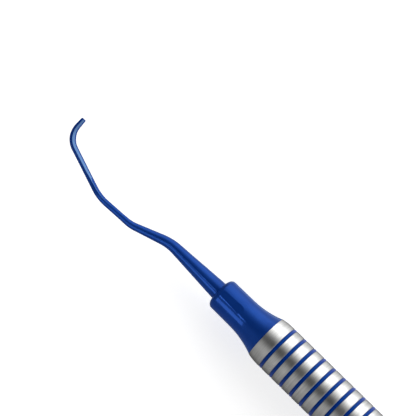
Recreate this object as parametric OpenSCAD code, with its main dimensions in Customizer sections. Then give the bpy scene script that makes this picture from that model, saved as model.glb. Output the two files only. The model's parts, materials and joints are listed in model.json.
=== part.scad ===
// Double-ended hand scaler: a ringed hollow handle with a screw-in working end at each end.
// The handle lies along X, with the origin at its middle. End A points to -X and end B to +X.
// End B is end A turned through the origin, so the two blades are a left and right pair.

/* [Handle] */
// Outside diameter of the handle tube
handle_d = 9; // [8.5:0.25:10]
// Length of the handle tube
handle_len = 78; // [74:1:90]
// Wall thickness of the handle tube
handle_wall = 1; // [0.8:0.1:1.2]
// How far each rim of the tube is drawn in from the handle's radius
rim_drop = 0.25; // [0.1:0.05:0.4]

/* [Grip rings] */
// Number of rings at each end of the handle
ring_count = 12; // [6:1:13]
// Distance from one ring to the next
ring_pitch = 2.4; // [2.2:0.1:2.5]
// Width of a ring
ring_w = 0.6; // [0.4:0.05:0.7]
// Depth of a ring's groove
ring_depth = 0.4; // [0.3:0.05:0.5]
// Height of a ring's crown over its edges
ring_crown = 0.1; // [0.05:0.01:0.12]
// Distance from the rim of the tube to the middle of the first ring
first_ring = 2.95; // [2.6:0.05:3.2]
// Rounding of both edges of a groove
groove_round = 0.16; // [0.04:0.01:0.2]

/* [Collar] */
// Length of the collar, from the rim of the tube to its nose
collar_len = 11.5; // [10.5:0.25:12.5]
// Radius of the collar at its nose
collar_front_r = 3.06; // [3.02:0.01:3.1]
// Radius of the collar where its flare begins
collar_waist_r = 3.1; // [3.06:0.01:3.2]
// Length of the concave flare
flare_len = 5.9; // [5:0.1:6.5]
// Length of the rounded nose
nose_len = 1; // [0.7:0.1:1.2]
// Distance across the two wrench flats
flats_across = 6; // [5.8:0.05:6.05]
// Length of a wrench flat, measured from the nose
flats_len = 5; // [4.5:0.1:5.4]
// Radius of the run-out at the end of a wrench flat
flats_runout_r = 4; // [3:0.5:5]
// Turn of the wrench flats about the handle's axis
flats_turn = 5; // [0:1:10]

/* [Screw joint] */
// Thread diameter of the spigot and socket
thread_d = 4; // [3.5:0.1:4.2]
// Thread pitch
thread_pitch = 0.7; // [0.6:0.05:0.8]
// Radial clearance between the spigot's pilot and the socket
pilot_gap = 0.03; // [0.02:0.01:0.08]
// Length of the spigot's plain pilot
pilot_len = 1.6; // [1.2:0.1:2]
// Length of the whole spigot
spigot_len = 6.2; // [5.5:0.1:6.5]
// Length of the socket pressed into the tube
socket_len = 10; // [9:0.5:12]
// Thickness of the O-ring
seal_w = 0.6; // [0.5:0.05:0.7]

/* [Shank and blade] */
// Radius of the shank where it leaves the collar
root_r = 1.72; // [1.6:0.02:1.74]
// Radius of the shank's tang inside the collar
tang_r = 1.25; // [1:0.05:1.35]
// Length of the tang
tang_len = 8.5; // [7:0.5:9.5]
// Radius of the toe
toe_r = 0.45; // [0.4:0.01:0.5]
// Rounding of the toe's edge
toe_round = 0.12; // [0.05:0.01:0.2]
// Length of the blade's flat face
face_len = 12; // [8:0.5:13]
// Length over which the face fades into the round shank
face_fade = 2.5; // [1:0.5:4]

/* [Hidden] */
$fn = 96;
// Corners of the shank's middle line, from the collar's nose to the toe
corners = [
    [0, 0, 0], [12.1, 0, 0], [19.3, -2.55, 0.6],
    [26.5, -2.9, 2], [38.2, 0.95, 0.6], [38.4, 5, 0.4]
];
// Bend radius at each inner corner, and the number of steps it is drawn in
bend_r = [9, 6, 7, 3.65];
bend_steps = [5, 4, 5, 12];
// Number of steps that a straight leg is drawn in
leg_steps = 4;
// Number of steps of the toe's rounded edge
toe_steps = 2;
// Shank radius at lengths along the middle line
shank_taper = [
    [0, root_r], [3, 1.54], [8, 1.22], [12.5, 0.96], [16.5, 0.79], [21.5, 0.6],
    [27, 0.58], [30, 0.55], [36, 0.56], [39, 0.6], [43, toe_r]
];
// Number of points around the shank
sides = 24;
// Half of the angle that the face takes up, and its turn from the inside of the hook towards the top
face_half = 22.5;
face_turn = 67.5;

handle_r = handle_d / 2;
bore_r = handle_r - handle_wall;
rim_r = handle_r - rim_drop;
rim_len = first_ring - ring_w;
// How far the collar's back stands inside the rim of the tube
collar_step = 0.01;
collar_back_r = rim_r - collar_step;
waist_slope = (collar_waist_r - collar_front_r) / (collar_len - nose_len - flare_len);
flare_rise = collar_back_r - collar_waist_r - waist_slope * flare_len;
// Radius of the mouth of the collar's nose, where the shank comes out
mouth_gap = 0.03;
mouth_r = root_r + mouth_gap;
thread_r = thread_d / 2;
// The thread's ridges are left out: the core is at the root of the thread
thread_depth = 0.55 * thread_pitch;
core_r = thread_r - thread_depth;
pilot_r = thread_r - pilot_gap;
// Gap between the collar's back and the rim of the tube
seat_gap = 0.02;
// Gap all round the O-ring
seal_gap = 0.05;
seal_r = thread_r + seal_gap + seal_w / 2;
recess_r = seal_r + seal_w / 2 + seal_gap;
recess_depth = seal_w + 2 * seat_gap;
// The socket's bore runs on past the end of the spigot
bore_relief = 1;
bore_depth = spigot_len + bore_relief;
// Number of steps that a profile's arc is drawn in
arc_steps = 12;
crown_steps = 4;
edge_steps = 4;
runout_steps = 8;
// Angle through which a wrench flat's run-out rises, enough to leave the collar
runout_angle = 32;
// Reach of a cutter, larger than the collar
big = 20;

steel = [0.72, 0.73, 0.74];
coated_blue = [0.03, 0.2, 0.55];
ring_blue = [0.02, 0.25, 0.7];
seal_black = [0.08, 0.08, 0.08];

function ring_name(end, i) = str("ring_", end, i < 10 ? "0" : "", i);

// Radius of a circle that rises by rise over a run that starts level
function arc_radius(run, rise) = (run * run + rise * rise) / (2 * rise);
// Rise of that circle at a distance along the run
function arc_rise(radius, at) = radius - sqrt(radius * radius - at * at);
// Distance of a ring's middle from the middle of the handle
function ring_x(i) = handle_len / 2 - first_ring - (i - 1) * ring_pitch;

// Turns a profile of [radius, x] points about the X axis
module turned(profile) {
    rotate([0, 90, 0]) rotate_extrude() polygon(profile);
}

// End A looks along -X and end B along +X, turned half over
module at_end(end) {
    if (end == "a") translate([-handle_len / 2, 0, 0]) mirror([1, 0, 0]) children();
    if (end == "b") translate([handle_len / 2, 0, 0]) rotate([180, 0, 0]) children();
}

// One half of the tube's outside, from the middle of the handle to its rim
function half_profile(side) = concat(
    [for (i = [ring_count:-1:1]) each groove_profile(ring_x(i), side)],
    [for (k = [0:arc_steps]) rim_point(k / arc_steps, side)]
);
function groove_profile(x, side) = concat(
    [for (k = [0:edge_steps]) edge_point(x, -1, 90 * k / edge_steps, side)],
    [[handle_r - ring_depth, side * (x - ring_w / 2)], [handle_r - ring_depth, side * (x + ring_w / 2)]],
    [for (k = [edge_steps:-1:0]) edge_point(x, 1, 90 * k / edge_steps, side)]
);
// A point of a groove's rounded edge: bank is -1 or 1, for the groove's two edges
function edge_point(x, bank, angle, side) = [
    handle_r - groove_round * (1 - cos(angle)),
    side * (x + bank * (ring_w / 2 + groove_round * (1 - sin(angle))))
];
function rim_point(part, side) = [
    handle_r - arc_rise(arc_radius(rim_len, rim_drop), part * rim_len),
    side * (handle_len / 2 - rim_len + part * rim_len)
];
function reversed(list) = [for (i = [len(list) - 1:-1:0]) list[i]];

module handle_tube() {
    color(steel) turned(concat(
        [[bore_r, -handle_len / 2]],
        reversed(half_profile(-1)),
        half_profile(1),
        [[bore_r, handle_len / 2]]
    ));
}

// A ring's crown reaches the handle's radius in the middle and drops towards both edges
function crown_point(part) = [
    handle_r - arc_rise(arc_radius(ring_w / 2, ring_crown), abs(part) * ring_w / 2),
    part * ring_w / 2
];
module grip_ring(end, i) {
    side = end == "a" ? -1 : 1;
    color(ring_blue) translate([side * ring_x(i), 0, 0]) turned(concat(
        [[handle_r - ring_depth, -ring_w / 2]],
        [for (k = [-crown_steps:crown_steps]) crown_point(k / crown_steps)],
        [[handle_r - ring_depth, ring_w / 2]]
    ));
}

module socket(end) {
    color(steel) at_end(end) turned([
        [0, -socket_len],
        [bore_r, -socket_len],
        [bore_r, 0],
        [recess_r, 0],
        [recess_r, -recess_depth],
        [thread_r, -recess_depth],
        [thread_r, -bore_depth],
        [0, -bore_depth]
    ]);
}

module seal(end) {
    color(seal_black) at_end(end) translate([-recess_depth / 2, 0, 0])
        rotate([0, 90, 0]) rotate_extrude() translate([seal_r, 0]) circle(r = seal_w / 2);
}

// A point of the concave flare: part is 0 at the waist and 1 at the collar's back
function flare_point(part) = [
    collar_waist_r + waist_slope * part * flare_len
        + arc_rise(arc_radius(flare_len, flare_rise), part * flare_len),
    seat_gap + (1 - part) * (flare_len - seat_gap)
];
function nose_point(angle) = [
    mouth_r + (collar_front_r - mouth_r) * cos(angle),
    collar_len - nose_len + nose_len * sin(angle)
];

// Everything outside a wrench flat, up to the top of its run-out
module flat_cutter() {
    rotate([90, 0, 0]) linear_extrude(height = big, center = true) polygon(concat(
        [[big, flats_across / 2], [big, big], [runout_point(runout_angle).x, big]],
        [for (k = [runout_steps:-1:0]) runout_point(runout_angle * k / runout_steps)]
    ));
}
function runout_point(angle) = [
    collar_len - flats_len - flats_runout_r * sin(angle),
    flats_across / 2 + flats_runout_r * (1 - cos(angle))
];

module collar(end) {
    color(coated_blue) at_end(end) difference() {
        turned(concat(
            [
                [0, -spigot_len],
                [core_r, -spigot_len],
                [core_r, -pilot_len],
                [pilot_r, -pilot_len],
                [pilot_r, seat_gap]
            ],
            [for (k = [arc_steps:-1:0]) flare_point(k / arc_steps)],
            [for (k = [0:arc_steps]) nose_point(90 * k / arc_steps)],
            [[tang_r, collar_len], [tang_r, collar_len - tang_len], [0, collar_len - tang_len]]
        ));
        for (side = [0, 180]) rotate([side - flats_turn, 0, 0]) flat_cutter();
    }
}

// The middle line is straight legs joined by round bends
last_leg = len(corners) - 2;
function unit(v) = v / norm(v);
function leg(i) = unit(corners[i + 1] - corners[i]);
function turn(i) = acos(leg(i - 1) * leg(i));
function setback(i) = bend_r[i - 1] * tan(turn(i) / 2);
function leg_start(i) = i == 0 ? corners[0] : corners[i] + leg(i) * setback(i);
function leg_end(i) = i == last_leg ? corners[i + 1] : corners[i + 1] - leg(i) * setback(i + 1);
function leg_run(i) = norm(leg_end(i) - leg_start(i));
function bend_run(i) = bend_r[i - 1] * turn(i) * PI / 180;
// Length of the middle line up to the start of a leg
function run_to(i) = i == 0 ? 0 : run_to(i - 1) + leg_run(i - 1) + bend_run(i);

// A station is [point, direction, length of the middle line so far]
function leg_station(i, part) = [
    leg_start(i) + leg(i) * part * leg_run(i),
    leg(i),
    run_to(i) + part * leg_run(i)
];
// Away from the bend's centre, in the plane of its two legs
function outward(i) = cross(leg(i - 1), unit(cross(leg(i - 1), leg(i))));
function bend_station(i, part) =
    let (turned = part * turn(i))
    let (off_line = outward(i) * (cos(turned) - 1))
    [
        leg_end(i - 1) + bend_r[i - 1] * (off_line + leg(i - 1) * sin(turned)),
        leg(i - 1) * cos(turned) - outward(i) * sin(turned),
        run_to(i) - (1 - part) * bend_run(i)
    ];
stations = [
    for (i = [0:last_leg]) each concat(
        i == 0 ? [] : [for (k = [0:bend_steps[i - 1] - 1]) bend_station(i, k / bend_steps[i - 1])],
        [for (k = [0:leg_steps - 1]) leg_station(i, k / leg_steps)]
    )
];
shank_run = run_to(last_leg) + leg_run(last_leg);

// How flat the face is at a length: 0 is round and 1 is flat
function flatness(at) = lookup(at, [[shank_run - face_len - face_fade, 0], [shank_run - face_len, 1]]);
// A point of a section: the face is between the inside of the hook and its top
function section_point(station, radius, k) =
    let (angle = k * 360 / sides)
    let (inward = unit(cross([0, 0, 1], station[1])))
    let (up = cross(station[1], inward))
    let (from_face = cos(angle - face_turn))
    let (cut = from_face > cos(face_half) ? (from_face - cos(face_half)) * flatness(station[2]) : 0)
    let (across = cos(angle) - cut * cos(face_turn))
    let (over = sin(angle) - cut * sin(face_turn))
    station[0] + radius * (inward * across + up * over);
function section(station, radius) = [for (k = [0:sides - 1]) section_point(station, radius, k)];
// The toe is rounded over a short length
function toe_section(angle) = section(
    leg_station(last_leg, 1 - toe_round * (1 - sin(angle)) / leg_run(last_leg)),
    toe_r - toe_round * (1 - cos(angle))
);

module swept_shank() {
    rings = concat(
        [for (station = stations) section(station, lookup(station[2], shank_taper))],
        [for (k = [0:toe_steps]) toe_section(90 * k / toe_steps)]
    );
    last = len(rings) - 1;
    polyhedron(
        points = [for (ring = rings) each ring],
        faces = concat(
            [for (k = [1:sides - 2]) [0, k, k + 1]],
            [for (j = [0:last - 1]) for (k = [0:sides - 1]) each side_faces(j * sides, k)],
            [for (k = [1:sides - 2]) [last * sides, last * sides + k + 1, last * sides + k]]
        )
    );
}
function side_faces(first, k) =
    let (next = (k + 1) % sides)
    [[first + k, first + sides + next, first + next], [first + k, first + sides + k, first + sides + next]];

module shank(end) {
    color(coated_blue) at_end(end) translate([collar_len, 0, 0]) {
        swept_shank();
        translate([-tang_len, 0, 0]) rotate([0, 90, 0]) cylinder(h = tang_len + root_r, r = tang_r);
    }
}

handle_tube();
for (end = ["a", "b"]) {
    socket(end);
    seal(end);
    collar(end);
    shank(end);
    for (i = [1:ring_count])
        grip_ring(end, i);
}
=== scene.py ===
import json
import math

import bmesh
import bpy
from mathutils import Matrix, Vector


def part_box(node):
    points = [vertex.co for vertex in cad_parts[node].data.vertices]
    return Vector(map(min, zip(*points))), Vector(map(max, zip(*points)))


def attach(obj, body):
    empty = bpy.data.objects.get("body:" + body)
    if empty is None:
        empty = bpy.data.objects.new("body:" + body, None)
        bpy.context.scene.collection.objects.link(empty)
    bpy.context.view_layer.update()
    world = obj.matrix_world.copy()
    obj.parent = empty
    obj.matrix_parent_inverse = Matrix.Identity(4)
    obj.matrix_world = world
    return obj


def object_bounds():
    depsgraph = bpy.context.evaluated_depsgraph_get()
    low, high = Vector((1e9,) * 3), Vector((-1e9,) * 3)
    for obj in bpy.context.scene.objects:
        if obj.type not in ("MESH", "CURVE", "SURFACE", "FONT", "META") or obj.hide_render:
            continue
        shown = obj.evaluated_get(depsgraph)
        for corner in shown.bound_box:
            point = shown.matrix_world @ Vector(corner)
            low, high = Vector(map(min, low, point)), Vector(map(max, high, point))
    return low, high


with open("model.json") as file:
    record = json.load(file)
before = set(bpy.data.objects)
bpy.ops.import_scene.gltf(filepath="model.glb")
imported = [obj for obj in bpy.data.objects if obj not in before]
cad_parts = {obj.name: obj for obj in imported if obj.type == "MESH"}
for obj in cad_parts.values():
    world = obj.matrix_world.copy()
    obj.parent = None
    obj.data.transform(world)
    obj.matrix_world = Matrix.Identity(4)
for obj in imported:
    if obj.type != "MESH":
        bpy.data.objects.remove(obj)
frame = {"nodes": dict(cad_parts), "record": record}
cad_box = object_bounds()

# Everything is in metres. The handle lies along X, end A points to -X, and +Z is up.
MM = 0.001

# ---------------------------------------------------------------- sizes read from the frame
RIM_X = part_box("handle_tube")[1].x
collar_low, collar_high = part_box("collar_a")
NOSE_X = collar_low.x
SPIGOT_LEN = collar_high.x + RIM_X
FLOOR_Z = cad_box[0].z

# ---------------------------------------------------------------- the screw joint's thread
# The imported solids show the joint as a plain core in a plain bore, so the ridges are made here
THREAD_PITCH = 0.7 * MM
# The spigot's plain stretch next to the collar
PILOT_LEN = 1.6 * MM
# How far the socket's bore runs on past the end of the spigot
BORE_RELIEF = 1.0 * MM
# What stays plain between a thread's end and the end of its spigot or bore
SPIGOT_TIP = 0.3 * MM
BORE_END = 0.4 * MM
# A ridge's root and crest: (radius, half of its width there)
SPIGOT_ROOT = (1.6 * MM, 0.236 * MM)
SPIGOT_CREST = (1.94 * MM, 0.045 * MM)
SOCKET_ROOT = (2.01 * MM, 0.3 * MM)
SOCKET_CREST = (1.67 * MM, 0.1 * MM)
# At each end a ridge runs out over this share of a turn, down to this share of its height
RUNOUT = 0.35
LEAST_RISE = 0.02
STEPS_PER_TURN = 48

# ---------------------------------------------------------------- the blade's flat face, and a painted highlight line on the round shank
# How far the face is turned up from the inside of the hook, as its normal's rise
FACE_RISE = math.sin(math.radians(67.5))
RISE_TOLERANCE = 0.02
# The inside of end A's hook looks this way, and the face's normal leans at least this far towards it
INSIDE_OF_HOOK = (0.7, 0.7, 0)
LEAST_LEAN = 0.18
# The lighter colour of the honed face and of the painted highlight begins this far from the middle of
# the scaler, and is full after the fade
FACE_FROM = 74 * MM
FACE_FADE = 4 * MM


# ---------------------------------------------------------------- node helpers
class Nodes:
    """A material's node tree, with short calls that make a node and link what feeds it."""

    def __init__(self, name):
        self.material = bpy.data.materials.new(name)
        self.material.use_nodes = True
        self.tree = self.material.node_tree
        self.shader = self.tree.nodes["Principled BSDF"]

    def add(self, kind, inputs=(), **settings):
        node = self.tree.nodes.new(kind)
        for key, value in settings.items():
            setattr(node, key, value)
        for key, value in dict(inputs).items():
            self.feed(node.inputs[key], value)
        return node

    def feed(self, socket, value):
        if isinstance(value, bpy.types.NodeSocket):
            self.tree.links.new(value, socket)
        else:
            socket.default_value = value

    def math(self, operation, a, b=0.0):
        return self.add("ShaderNodeMath", {0: a, 1: b}, operation=operation).outputs[0]

    def ramp(self, value, low, high, out_low=0.0, out_high=1.0):
        """value, moved from the range low..high to out_low..out_high and kept inside it."""
        inputs = {"Value": value, "From Min": low, "From Max": high}
        inputs.update({"To Min": out_low, "To Max": out_high})
        return self.add("ShaderNodeMapRange", inputs).outputs["Result"]

    def position(self):
        return self.add("ShaderNodeTexCoord").outputs["Object"]

    def stretched(self, vector, scale):
        return self.add("ShaderNodeMapping", {"Vector": vector, "Scale": scale}).outputs["Vector"]

    def noise(self, vector, scale=1.0, detail=3.0, roughness=0.5):
        inputs = {"Vector": vector, "Scale": scale, "Detail": detail, "Roughness": roughness}
        return self.add("ShaderNodeTexNoise", inputs).outputs["Fac"]

    def mix(self, factor, a, b):
        node = self.add("ShaderNodeMix", data_type="RGBA")
        self.feed(node.inputs["Factor"], factor)
        self.feed(node.inputs["A"], a)
        self.feed(node.inputs["B"], b)
        return node.outputs["Result"]

    def bump(self, height, strength, distance):
        inputs = {"Height": height, "Strength": strength, "Distance": distance}
        return self.add("ShaderNodeBump", inputs).outputs["Normal"]

    def finish(self, **sockets):
        for key, value in sockets.items():
            self.feed(self.shader.inputs[key.replace("_", " ")], value)
        return self.material


def rgb(red, green, blue):
    return (red, green, blue, 1.0)


def grey(level):
    return rgb(level, level, level)


# ---------------------------------------------------------------- materials
def brushed_steel(name, tint, roughness):
    """Stainless steel turned on a lathe: the grain runs round the handle and is finer than a ring.

    The grey specular tint dims the steel near its silhouette, which keeps it clear of a pale floor.
    """
    n = Nodes(name)
    place = n.position()
    fine = n.noise(n.stretched(place, (14000, 260, 260)), detail=2)
    coarse = n.noise(n.stretched(place, (3000, 130, 130)), detail=4, roughness=0.6)
    cloud = n.noise(place, scale=420, detail=4)
    grain = n.math("ADD", n.math("MULTIPLY", fine, 0.4), n.math("MULTIPLY", coarse, 0.6))
    dark = rgb(*(0.78 * share for share in tint[:3]))
    colour = n.mix(n.ramp(grain, 0.38, 0.62), dark, tint)
    worn = n.ramp(grain, 0.3, 0.7, roughness + 0.05, roughness - 0.04)
    gloss = n.math("ADD", worn, n.ramp(cloud, 0.3, 0.7, -0.02, 0.03))
    return n.finish(
        Base_Color=colour,
        Metallic=1.0,
        Roughness=gloss,
        Anisotropic=0.3,
        Specular_Tint=grey(0.3),
        Tangent=n.add("ShaderNodeTangent", direction_type="RADIAL", axis="X").outputs["Tangent"],
        Normal=n.bump(grain, 0.35, 0.00002),
    )


def honed_face_and_highlight(n, place):
    """1 on the blade's flat face, and on a thin painted highlight line along the round shank where the
    normal faces the same way, and 0 elsewhere. The face looks up at end A and down at end B.
    """
    x = n.add("ShaderNodeSeparateXYZ", {"Vector": place}).outputs["X"]
    end_a = n.math("MULTIPLY", n.math("SIGN", x), -1.0)
    normal = n.add("ShaderNodeTexCoord").outputs["Normal"]

    def towards(direction):
        facing = n.add("ShaderNodeVectorMath", {0: normal, 1: direction}, operation="DOT_PRODUCT")
        return n.math("MULTIPLY", facing.outputs["Value"], end_a)

    # The same rise and lean also pick a thin line along the round shank, and there the lighter colour
    # is a painted highlight.
    rise = {0: towards((0, 0, 1)), 1: FACE_RISE, 2: RISE_TOLERANCE}
    raised = n.add("ShaderNodeMath", rise, operation="COMPARE").outputs[0]
    inward = n.math("GREATER_THAN", towards(INSIDE_OF_HOOK), LEAST_LEAN)
    beyond = n.ramp(n.math("ABSOLUTE", x), FACE_FROM, FACE_FROM + FACE_FADE)
    return n.math("MULTIPLY", n.math("MULTIPLY", raised, inward), beyond)


def blue_coating(name):
    """Polished steel under a thin hard blue coating, with faint drawn marks along the shank.

    The coating is lighter on the blade's honed face, and a painted highlight runs as a thin lighter
    line along the round shank.
    """
    n = Nodes(name)
    place = n.position()
    drawn = n.noise(n.stretched(place, (500, 5200, 5200)), detail=3)
    cloud = n.noise(place, scale=330, detail=3)
    coating = n.mix(n.ramp(cloud, 0.3, 0.7), rgb(0.004, 0.038, 0.25), rgb(0.006, 0.048, 0.29))
    # Painted highlight: this lighter blue is the honed face, and also a thin bright line along the
    # round shank.
    colour = n.mix(honed_face_and_highlight(n, place), coating, rgb(0.14, 0.27, 0.56))
    gloss = n.math("ADD", n.ramp(drawn, 0.3, 0.7, 0.1, 0.16), n.ramp(cloud, 0.3, 0.7, -0.015, 0.02))
    return n.finish(
        Base_Color=colour,
        Metallic=0.34,
        Roughness=gloss,
        Specular_IOR_Level=0.2,
        Specular_Tint=rgb(0.25, 0.7, 1.0),
        Coat_Weight=0.08,
        Coat_Roughness=0.12,
        Normal=n.bump(drawn, 0.08, 0.00001),
    )


def ring_silicone(name):
    """Smooth blue silicone with a faint moulded skin."""
    n = Nodes(name)
    place = n.position()
    skin = n.noise(place, scale=2600, detail=3)
    colour = n.mix(n.ramp(skin, 0.35, 0.65), rgb(0.001, 0.026, 0.23), rgb(0.002, 0.038, 0.3))
    return n.finish(
        Base_Color=colour,
        Roughness=n.ramp(skin, 0.3, 0.7, 0.3, 0.4),
        Specular_IOR_Level=0.4,
        Specular_Tint=rgb(0.05, 0.4, 1.0),
        Normal=n.bump(skin, 0.12, 0.00001),
    )


def seal_rubber(name):
    """Dull black O-ring rubber."""
    n = Nodes(name)
    skin = n.noise(n.position(), scale=3000, detail=4)
    colour = n.mix(skin, rgb(0.012, 0.012, 0.013), rgb(0.03, 0.03, 0.032))
    return n.finish(
        Base_Color=colour,
        Roughness=n.ramp(skin, 0.3, 0.7, 0.42, 0.6),
        Normal=n.bump(skin, 0.2, 0.00001),
    )


def pale_floor(name):
    """A white sheet that glows a little, so that it stays white away from the scaler's shadow."""
    n = Nodes(name)
    speck = n.noise(n.position(), scale=60, detail=3)
    return n.finish(
        Base_Color=n.mix(speck, grey(0.86), grey(0.9)),
        Roughness=n.ramp(speck, 0.3, 0.7, 0.7, 0.8),
        Emission_Color=grey(1.0),
        Emission_Strength=0.66,
    )


materials = {
    "handle_steel": brushed_steel("handle_steel", rgb(0.7, 0.7, 0.69), 0.3),
    "socket_steel": brushed_steel("socket_steel", rgb(0.56, 0.56, 0.57), 0.32),
    "blue_coating": blue_coating("blue_coating"),
    "ring_silicone": ring_silicone("ring_silicone"),
    "seal_rubber": seal_rubber("seal_rubber"),
}


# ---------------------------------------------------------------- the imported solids
# Vertices closer than this are one
WELD_WITHIN = 0.001 * MM
# Edges sharper than this stay crisp. A collar's wrench flats meet its round body at a blunt angle
CRISP_FROM = math.radians(24)
COLLAR_CRISP_FROM = math.radians(9)


def finish_solid(obj, slot):
    """Shades the mesh smooth between its crisp edges and gives it its material."""
    obj.data.materials.clear()
    obj.data.materials.append(materials[slot])
    for name in ("custom_normal", "sharp_edge"):
        if name in obj.data.attributes:
            obj.data.attributes.remove(obj.data.attributes[name])
    for polygon in obj.data.polygons:
        polygon.use_smooth = True
    weld = obj.modifiers.new("weld", "WELD")
    weld.merge_threshold = WELD_WITHIN
    split = obj.modifiers.new("crisp edges", "EDGE_SPLIT")
    split.split_angle = COLLAR_CRISP_FROM if obj.name.startswith("collar") else CRISP_FROM


for part in frame["record"]["subparts"]:
    finish_solid(frame["nodes"][part["node"]], part["material_slot"])


# ---------------------------------------------------------------- the screw threads
def helix_ridge(name, body, slot, outward, start, turns, root, crest):
    """A right-hand thread ridge round the X axis. outward is -1 at end A and 1 at end B.

    start is how far the ridge's middle begins from the rim of the tube, measured inwards.
    """
    mesh = bmesh.new()
    rows = []
    for k in range(int(turns * STEPS_PER_TURN) + 1):
        turn = k / STEPS_PER_TURN
        rise = min(1.0, turn / RUNOUT, (turns - turn) / RUNOUT)
        tall = root[0] + (crest[0] - root[0]) * max(rise, LEAST_RISE)
        depth = start + turn * THREAD_PITCH
        middle = outward * (RIM_X - depth)
        # a right-hand helix turns with the axis that it runs along
        angle = -outward * 2 * math.pi * turn
        section = ((root[0], -root[1]), (tall, -crest[1]), (tall, crest[1]), (root[0], root[1]))
        rows.append([
            mesh.verts.new((middle + along, radius * math.cos(angle), radius * math.sin(angle)))
            for radius, along in section
        ])
    for first, second in zip(rows, rows[1:]):
        for a in range(4):
            b = (a + 1) % 4
            mesh.faces.new((first[a], first[b], second[b], second[a]))
    mesh.faces.new(rows[0][::-1])
    mesh.faces.new(rows[-1])
    bmesh.ops.recalc_face_normals(mesh, faces=mesh.faces)
    data = bpy.data.meshes.new(name)
    mesh.to_mesh(data)
    mesh.free()
    data.materials.append(materials[slot])
    obj = bpy.data.objects.new(name, data)
    bpy.context.scene.collection.objects.link(obj)
    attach(obj, body)


def screw_joint(end, outward):
    """The spigot's thread, and the socket's thread in the gaps between the spigot's turns."""
    spigot_start = PILOT_LEN + THREAD_PITCH / 2
    spigot_turns = (SPIGOT_LEN - spigot_start - SPIGOT_TIP) / THREAD_PITCH
    helix_ridge(
        "thread_" + end, "tip_" + end, "blue_coating", outward, spigot_start, spigot_turns,
        SPIGOT_ROOT, SPIGOT_CREST,
    )
    socket_start = spigot_start + THREAD_PITCH / 2
    socket_turns = (SPIGOT_LEN + BORE_RELIEF - socket_start - BORE_END) / THREAD_PITCH
    helix_ridge(
        "socket_thread_" + end, "handle", "socket_steel", outward, socket_start, socket_turns,
        SOCKET_ROOT, SOCKET_CREST,
    )


screw_joint("a", -1)
screw_joint("b", 1)


# ---------------------------------------------------------------- floor, lights and camera
def floor():
    """A pale sheet under the scaler, and a pale wall round it that neither lights nor shades it."""
    material = pale_floor("pale_floor")
    floor_width = 8.0
    wall_radius = 3.5
    wall_height = 4.0
    bpy.ops.mesh.primitive_plane_add(size=floor_width, location=(0, 0, FLOOR_Z))
    plane = bpy.context.object
    plane.name = "floor"
    bpy.ops.mesh.primitive_cylinder_add(
        vertices=64, radius=wall_radius, depth=wall_height, end_fill_type="NOTHING"
    )
    wall = bpy.context.object
    wall.name = "wall"
    wall.visible_diffuse = False
    wall.visible_shadow = False
    for stage in (plane, wall):
        stage.data.materials.append(material)
        stage.visible_glossy = False


# How bright the studio is round the handle: degrees from overhead towards +Y, and the brightness there
STUDIO_LIGHT = (
    (-180, 0.35), (-154, 0.35), (-142, 0.2), (-116, 0.34), (-80, 0.36), (-64, 0.48), (-42, 0.5),
    (-30, 0.34), (-14, 0.05), (9, 0.03), (18, 0.2), (30, 0.5), (42, 1.2), (54, 1.9), (62, 2.2),
    (89, 2.3), (99, 1.65), (109, 1.2), (122, 1.05), (144, 1.1), (158, 0.5), (180, 0.35),
)
BRIGHTEST = max(light for degrees, light in STUDIO_LIGHT)
# How bright it is towards -X and towards +X, and where along X that begins and is full
END_LIGHTS = ((-1, 0.16), (1, 0.8))
END_FROM = 0.45
END_FULL = 0.95


def studio():
    """A soft light tent: bright on the +Y side, dark overhead and dim on the -Y side."""
    world = bpy.data.worlds.new("studio")
    world.use_nodes = True
    tree = world.node_tree
    background = tree.nodes["Background"]
    direction = tree.nodes.new("ShaderNodeTexCoord").outputs["Generated"]
    split = tree.nodes.new("ShaderNodeSeparateXYZ")
    angle = tree.nodes.new("ShaderNodeMath")
    angle.operation = "ARCTAN2"
    place = tree.nodes.new("ShaderNodeMapRange")
    place.inputs["From Min"].default_value = -math.pi
    place.inputs["From Max"].default_value = math.pi
    ramp = tree.nodes.new("ShaderNodeValToRGB")
    while len(ramp.color_ramp.elements) < len(STUDIO_LIGHT):
        ramp.color_ramp.elements.new(0.5)
    for element, (degrees, light) in zip(ramp.color_ramp.elements, STUDIO_LIGHT):
        element.position = (degrees + 180) / 360
        element.color = grey(light / BRIGHTEST)
    links = tree.links
    links.new(direction, split.inputs[0])
    links.new(split.outputs["Y"], angle.inputs[0])
    links.new(split.outputs["Z"], angle.inputs[1])
    links.new(angle.outputs[0], place.inputs["Value"])
    links.new(place.outputs[0], ramp.inputs[0])
    colour = ramp.outputs[0]
    for side, light in END_LIGHTS:
        near_end = tree.nodes.new("ShaderNodeMapRange")
        near_end.interpolation_type = "SMOOTHSTEP"
        near_end.inputs["From Min"].default_value = END_FROM * side
        near_end.inputs["From Max"].default_value = END_FULL * side
        mix = tree.nodes.new("ShaderNodeMix")
        mix.data_type = "RGBA"
        mix.inputs["B"].default_value = grey(light / BRIGHTEST)
        links.new(split.outputs["X"], near_end.inputs["Value"])
        links.new(near_end.outputs[0], mix.inputs["Factor"])
        links.new(colour, mix.inputs["A"])
        colour = mix.outputs["Result"]
    links.new(colour, background.inputs["Color"])
    background.inputs["Strength"].default_value = BRIGHTEST
    bpy.context.scene.world = world


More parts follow.
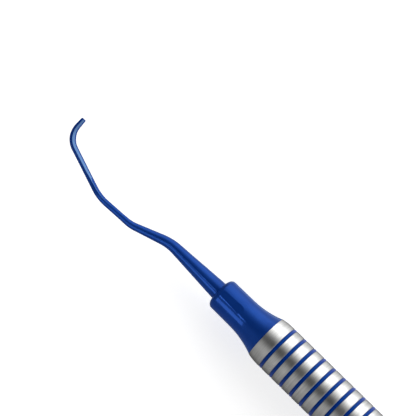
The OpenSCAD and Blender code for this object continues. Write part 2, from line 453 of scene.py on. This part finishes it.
def strip_lamp(name, degrees, spread, light, receivers):
    """A long lamp beside the handle that lights only the receivers.

    degrees is its place, from overhead towards +Y, and spread is how wide it looks from the handle.
    """
    distance = 0.5
    length = 0.4
    angle = math.radians(degrees)
    width = 2 * distance * math.tan(math.radians(spread / 2))
    data = bpy.data.lights.new(name, "AREA")
    data.shape = "RECTANGLE"
    data.size = length
    data.size_y = width
    data.energy = light * math.pi * length * width
    lamp = bpy.data.objects.new(name, data)
    lamp.location = (0, distance * math.sin(angle), distance * math.cos(angle))
    lamp.rotation_euler = (-angle, 0, 0)
    lamp.visible_camera = False
    lamp.light_linking.receiver_collection = receivers
    bpy.context.scene.collection.objects.link(lamp)


def coating_lamps():
    """Two lamps that draw bright lines along the blue coating, and leave the steel alone."""
    coated = bpy.data.collections.new("coated")
    for part in frame["record"]["subparts"]:
        if part["material_slot"] == "blue_coating":
            coated.objects.link(frame["nodes"][part["node"]])
    strip_lamp("wide_strip", -48, 24, 2.1, coated)
    strip_lamp("narrow_strip", -22, 5, 4.0, coated)


def camera():
    """Looks down on end A, with the handle running off towards the lower right."""
    tilt = math.radians(7.6)
    turn = math.radians(44.3)
    back = Vector((math.sin(tilt), 0, math.cos(tilt)))
    along = Vector((math.cos(tilt), 0, -math.sin(tilt)))
    across = Vector((0, 1, 0))
    right = along * math.cos(turn) + across * math.sin(turn)
    up = -along * math.sin(turn) + across * math.cos(turn)
    # The collar's nose stands here in the picture, as shares of its width from the middle
    nose_right = 0.027
    nose_up = -0.2
    view_width = 72.7 * MM
    distance = 0.6
    sensor = 36.0
    aim = Vector((NOSE_X, 0, 0)) - right * nose_right * view_width - up * nose_up * view_width
    data = bpy.data.cameras.new("camera")
    data.sensor_width = sensor
    data.lens = sensor * distance / view_width
    data.clip_start = 0.01
    cam = bpy.data.objects.new("camera", data)
    cam.matrix_world = Matrix((
        (right.x, up.x, back.x, aim.x + back.x * distance),
        (right.y, up.y, back.y, aim.y + back.y * distance),
        (right.z, up.z, back.z, aim.z + back.z * distance),
        (0, 0, 0, 1),
    ))
    bpy.context.scene.collection.objects.link(cam)
    bpy.context.scene.camera = cam


floor()
studio()
coating_lamps()
camera()
bpy.context.scene.view_settings.view_transform = "Standard"
